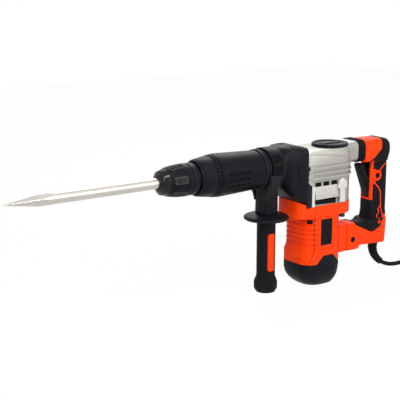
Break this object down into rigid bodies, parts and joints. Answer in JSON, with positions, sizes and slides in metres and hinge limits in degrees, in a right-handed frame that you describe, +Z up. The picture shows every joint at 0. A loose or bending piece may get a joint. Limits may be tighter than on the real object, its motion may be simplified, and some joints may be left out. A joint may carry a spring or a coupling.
{
  "type": "electric demolition hammer",
  "caption": "Corded demolition hammer with a bull-point chisel, swivelling side grip and sprung rear D-handle with trigger; crank, piston and striker run inside.",
  "frame": {"origin": "on the floor under the middle of the tool, chisel tip to rear handle", "axes": "+X toward the rear handle along the barrel, -X the chisel tip, +Z up, -Y the operator's left side"},
  "size_m": [0.9992, 0.1444, 0.2592],
  "materials": {
    "cast_aluminium": "fine cast, blasted",
    "black_plastic": "lightly grained",
    "black_rubber": "matte",
    "black_steel": "blackened",
    "brass": "stamped",
    "carbon": "sintered",
    "chisel_steel": "polished",
    "copper": "turned",
    "orange_plastic": "satin moulded plastic",
    "steel": "machined"
  },
  "bodies": {
    "body": {"dust_seal": "black_rubber", "tool_holder": "steel", "front_collar": "black_steel", "barrel_sleeve": "black_plastic", "barrel_neck": "black_plastic", "cylinder_tube": "steel", "gear_housing": "cast_aluminium", "top_cap": "black_plastic", "front_cover": "black_plastic", "motor_housing": "orange_plastic", "side_plate": "black_plastic", "tail_cap": "black_plastic", "crank_bearing": "steel", "armature_bearing_top": "steel", "armature_bearing_tail": "steel", "stator": "steel", "brush_holder_left": "brass", "brush_holder_right": "brass", "carbon_brush_left": "carbon", "carbon_brush_right": "carbon", "handle_pivot_pin": "steel", "band_bolt_left": "black_steel", "band_bolt_right": "black_steel", "sleeve_spring": "steel", "handle_bellows": "black_rubber", "damper_spring": "steel"},
    "chisel": {"chisel": "chisel_steel"},
    "locking_sleeve": {"locking_sleeve": "black_plastic"},
    "left_roller": {"locking_roller_1": "steel"},
    "right_roller": {"locking_roller_2": "steel"},
    "impact_bolt": {"impact_bolt": "steel"},
    "striker": {"striker": "steel", "striker_ring": "black_rubber"},
    "piston": {"piston": "cast_aluminium"},
    "armature": {"armature_shaft": "steel", "armature_core": "steel", "commutator": "copper", "cooling_fan": "black_plastic"},
    "crank": {"crankshaft": "steel", "crank_gear": "steel"},
    "rod": {"connecting_rod": "steel", "wrist_pin": "steel"},
    "side_clamp": {"side_bracket": "black_plastic"},
    "side_handle": {"clamp_stud": "steel", "grip_flange": "black_rubber", "side_grip": "black_rubber", "grip_inlay": "orange_plastic"},
    "rear_handle": {"handle_shell_left": "orange_plastic", "handle_shell_right": "orange_plastic", "grip_overmould": "black_rubber", "switch_body": "black_plastic", "trigger_pin": "steel", "cord_boot": "black_rubber", "cord_lead": "black_rubber", "cord_coil": "black_rubber", "cord_tail": "black_rubber", "cord_tie": "black_rubber", "mains_plug": "black_rubber"},
    "trigger": {"trigger": "black_plastic"},
    "lock_button": {"lock_button": "black_plastic"}
  },
  "joints": [
    {"name": "chisel_slide", "type": "slide", "parent": "body", "child": "chisel", "axis": [-1, 0, 0], "range_m": [0, 0.012]},
    {"name": "sleeve_slide", "type": "slide", "parent": "body", "child": "locking_sleeve", "axis": [1, 0, 0], "range_m": [0, 0.008], "stiffness_N_per_m": 900, "springref_m": -0.008, "deforming": ["sleeve_spring"]},
    {"name": "left_roller_slide", "type": "slide", "parent": "body", "child": "left_roller", "axis": [0, -1, 0], "range_m": [0, 0.0027]},
    {"name": "right_roller_slide", "type": "slide", "parent": "body", "child": "right_roller", "axis": [0, 1, 0], "range_m": [0, 0.0027]},
    {"name": "bolt_slide", "type": "slide", "parent": "body", "child": "impact_bolt", "axis": [1, 0, 0], "range_m": [0, 0.005]},
    {"name": "striker_slide", "type": "slide", "parent": "body", "child": "striker", "axis": [1, 0, 0], "range_m": [-0.01, 0.01]},
    {"name": "piston_slide", "type": "slide", "parent": "body", "child": "piston", "axis": [1, 0, 0], "range_m": [0, 0.016]},
    {"name": "armature_spin", "type": "hinge", "parent": "body", "child": "armature", "pos_m": [0.21475, 0, 0.122], "axis": [0, 0, 1], "continuous": true},
    {"name": "crank_spin", "type": "hinge", "parent": "body", "child": "crank", "pos_m": [0.25075, 0, 0.192], "axis": [0, 0, 1], "continuous": true},
    {"name": "rod_pin", "type": "hinge", "parent": "crank", "child": "rod", "pos_m": [0.24275, 0, 0.222], "axis": [0, 0, 1], "continuous": true},
    {"name": "side_clamp_swivel", "type": "hinge", "parent": "body", "child": "side_clamp", "pos_m": [0.10725, 0, 0.222], "axis": [1, 0, 0], "continuous": true},
    {"name": "side_handle_screw", "type": "hinge", "parent": "side_clamp", "child": "side_handle", "pos_m": [0.10725, 0, 0.102], "axis": [0, 0, 1], "range_deg": [-360, 0]},
    {"name": "rear_handle_pivot", "type": "hinge", "parent": "body", "child": "rear_handle", "pos_m": [0.29575, 0, 0.068], "axis": [0, -1, 0], "range_deg": [0, 2], "stiffness_Nm_per_rad": 250, "springref_deg": -2.01, "deforming": ["handle_bellows", "damper_spring"]},
    {"name": "trigger_pivot", "type": "hinge", "parent": "rear_handle", "child": "trigger", "pos_m": [0.34925, 0, 0.144], "axis": [0, 1, 0], "range_deg": [0, 9], "stiffness_Nm_per_rad": 0.6, "springref_deg": -11.46},
    {"name": "lock_button_slide", "type": "slide", "parent": "rear_handle", "child": "lock_button", "axis": [0, 1, 0], "range_m": [0, 0.0025], "stiffness_N_per_m": 600, "springref_m": -0.002}
  ],
  "couplings": [
    {"joint": "left_roller_slide", "follows": "sleeve_slide", "ratio": 0.3375},
    {"joint": "right_roller_slide", "follows": "sleeve_slide", "ratio": 0.3375},
    {"joint": "crank_spin", "follows": "armature_spin", "ratio": -0.25},
    {"joint": "rod_pin", "follows": "armature_spin", "ratio": 0.25}
  ]
}
